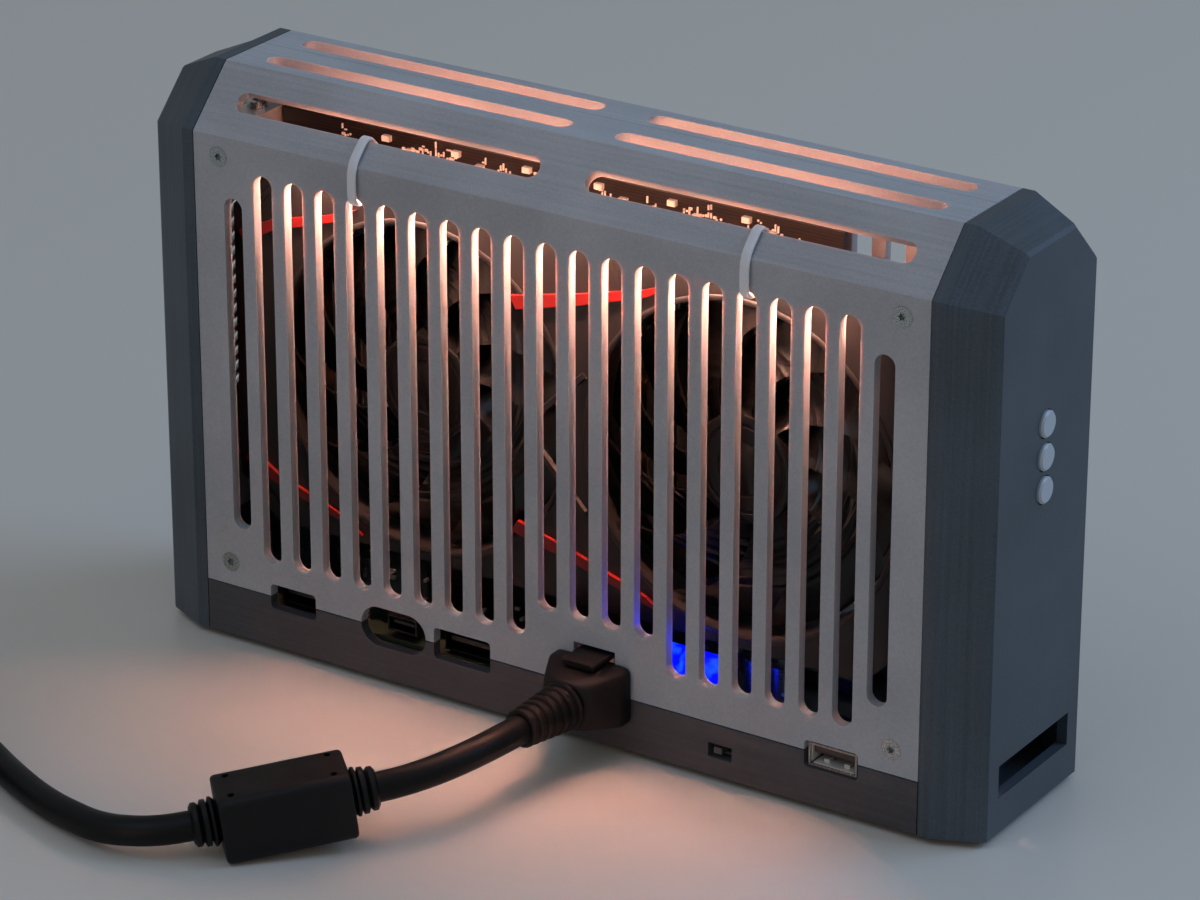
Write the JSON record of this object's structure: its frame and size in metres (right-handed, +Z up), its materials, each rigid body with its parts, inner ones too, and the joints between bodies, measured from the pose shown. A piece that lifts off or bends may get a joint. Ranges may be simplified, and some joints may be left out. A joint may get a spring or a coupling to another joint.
{
  "type": "graphics card expansion chassis",
  "caption": "Upright expansion chassis for a graphics card, with slotted covers, bevelled end caps, a light bar, three buttons and a coiled power lead.",
  "frame": {"origin": "centre of the footprint on the surface that the feet stand on", "axes": "+X to the button end, +Y to the rear, +Z up"},
  "size_m": [0.3751, 0.2708, 0.1635],
  "materials": {
    "dark_print": "3-D printed, fine layer lines, slight sheen",
    "light_print": "3-D printed, sandy matt front face",
    "foot_rubber": "matt",
    "screw_steel": "nickel plated",
    "board_green": "solder mask over glass fibre board",
    "black_plastic": "moulded, satin",
    "grey_plastic": "moulded, satin",
    "port_metal": "nickel plated sheet",
    "chip_black": "moulded package",
    "can_aluminium": "bare can",
    "blue_lamp": "lit blue lamp",
    "button_white": "smooth white",
    "card_dark": "black solder mask",
    "part_pale": "ceramic parts",
    "fin_aluminium": "bare fins",
    "pipe_copper": "copper tube",
    "trim_red": "painted red",
    "fan_black": "moulded, satin",
    "bar_white": "white lamp strip",
    "lamp_warm": "lit warm lamps",
    "tie_nylon": "translucent nylon",
    "lead_black": "moulded soft plastic, satin"
  },
  "bodies": {
    "chassis": {"base_tray": "dark_print", "front_cover": "light_print", "rear_cover": "light_print", "left_end_cap": "dark_print", "right_end_cap": "dark_print", "rubber_feet": "foot_rubber", "front_cover_screws": "screw_steel", "rear_cover_screws": "screw_steel", "base_screws": "screw_steel", "adapter_board": "board_green", "board_screws": "screw_steel", "card_slot": "black_plastic", "left_host_port": "port_metal", "middle_host_port": "port_metal", "right_host_port": "port_metal", "usb_port": "port_metal", "power_socket": "black_plastic", "switch_body": "grey_plastic", "bridge_chips": "chip_black", "board_capacitors": "can_aluminium", "board_chokes": "chip_black", "blue_lamps": "blue_lamp", "button_board": "board_green", "tact_switches": "grey_plastic", "card_board": "card_dark", "card_bracket": "port_metal", "bracket_screw": "screw_steel", "video_ports": "port_metal", "graphics_chip": "card_dark", "memory_chips": "chip_black", "heat_sink": "fin_aluminium", "heat_pipes": "pipe_copper", "cooler_shroud": "black_plastic", "left_fan_trims": "trim_red", "right_fan_trims": "trim_red", "left_fan_motor": "fan_black", "right_fan_motor": "fan_black", "back_plate": "black_plastic", "card_edge_parts": "part_pale", "light_bar": "bar_white", "bar_lamps": "lamp_warm", "left_cable_tie": "tie_nylon", "right_cable_tie": "tie_nylon", "power_plug": "lead_black", "lead_near": "lead_black", "choke_block": "lead_black", "lead_far": "lead_black", "lead_coil": "lead_black", "lead_tail": "lead_black", "far_connector": "lead_black"},
    "left_fan_rotor": {"left_fan": "fan_black"},
    "right_fan_rotor": {"right_fan": "fan_black"},
    "top_key": {"top_button": "button_white"},
    "middle_key": {"middle_button": "button_white"},
    "bottom_key": {"bottom_button": "button_white"},
    "power_slider": {"switch_knob": "grey_plastic"},
    "card_latch": {"slot_latch": "grey_plastic"}
  },
  "joints": [
    {"name": "left_fan_spin", "type": "hinge", "parent": "chassis", "child": "left_fan_rotor", "pos_m": [-0.0462, -0.018, 0.085], "axis": [0, 1, 0], "continuous": true},
    {"name": "right_fan_spin", "type": "hinge", "parent": "chassis", "child": "right_fan_rotor", "pos_m": [0.0526, -0.018, 0.085], "axis": [0, 1, 0], "continuous": true},
    {"name": "top_button_push", "type": "slide", "parent": "chassis", "child": "top_key", "axis": [-1, 0, 0], "range_m": [0, 0.0008], "stiffness_N_per_m": 400},
    {"name": "middle_button_push", "type": "slide", "parent": "chassis", "child": "middle_key", "axis": [-1, 0, 0], "range_m": [0, 0.0008], "stiffness_N_per_m": 400},
    {"name": "bottom_button_push", "type": "slide", "parent": "chassis", "child": "bottom_key", "axis": [-1, 0, 0], "range_m": [0, 0.0008], "stiffness_N_per_m": 400},
    {"name": "power_switch_slide", "type": "slide", "parent": "chassis", "child": "power_slider", "axis": [1, 0, 0], "range_m": [0, 0.002]},
    {"name": "slot_latch_swing", "type": "hinge", "parent": "chassis", "child": "card_latch", "pos_m": [0.0236, 0.0153, 0.0148], "axis": [0, 1, 0], "range_deg": [0, 25]}
  ]
}
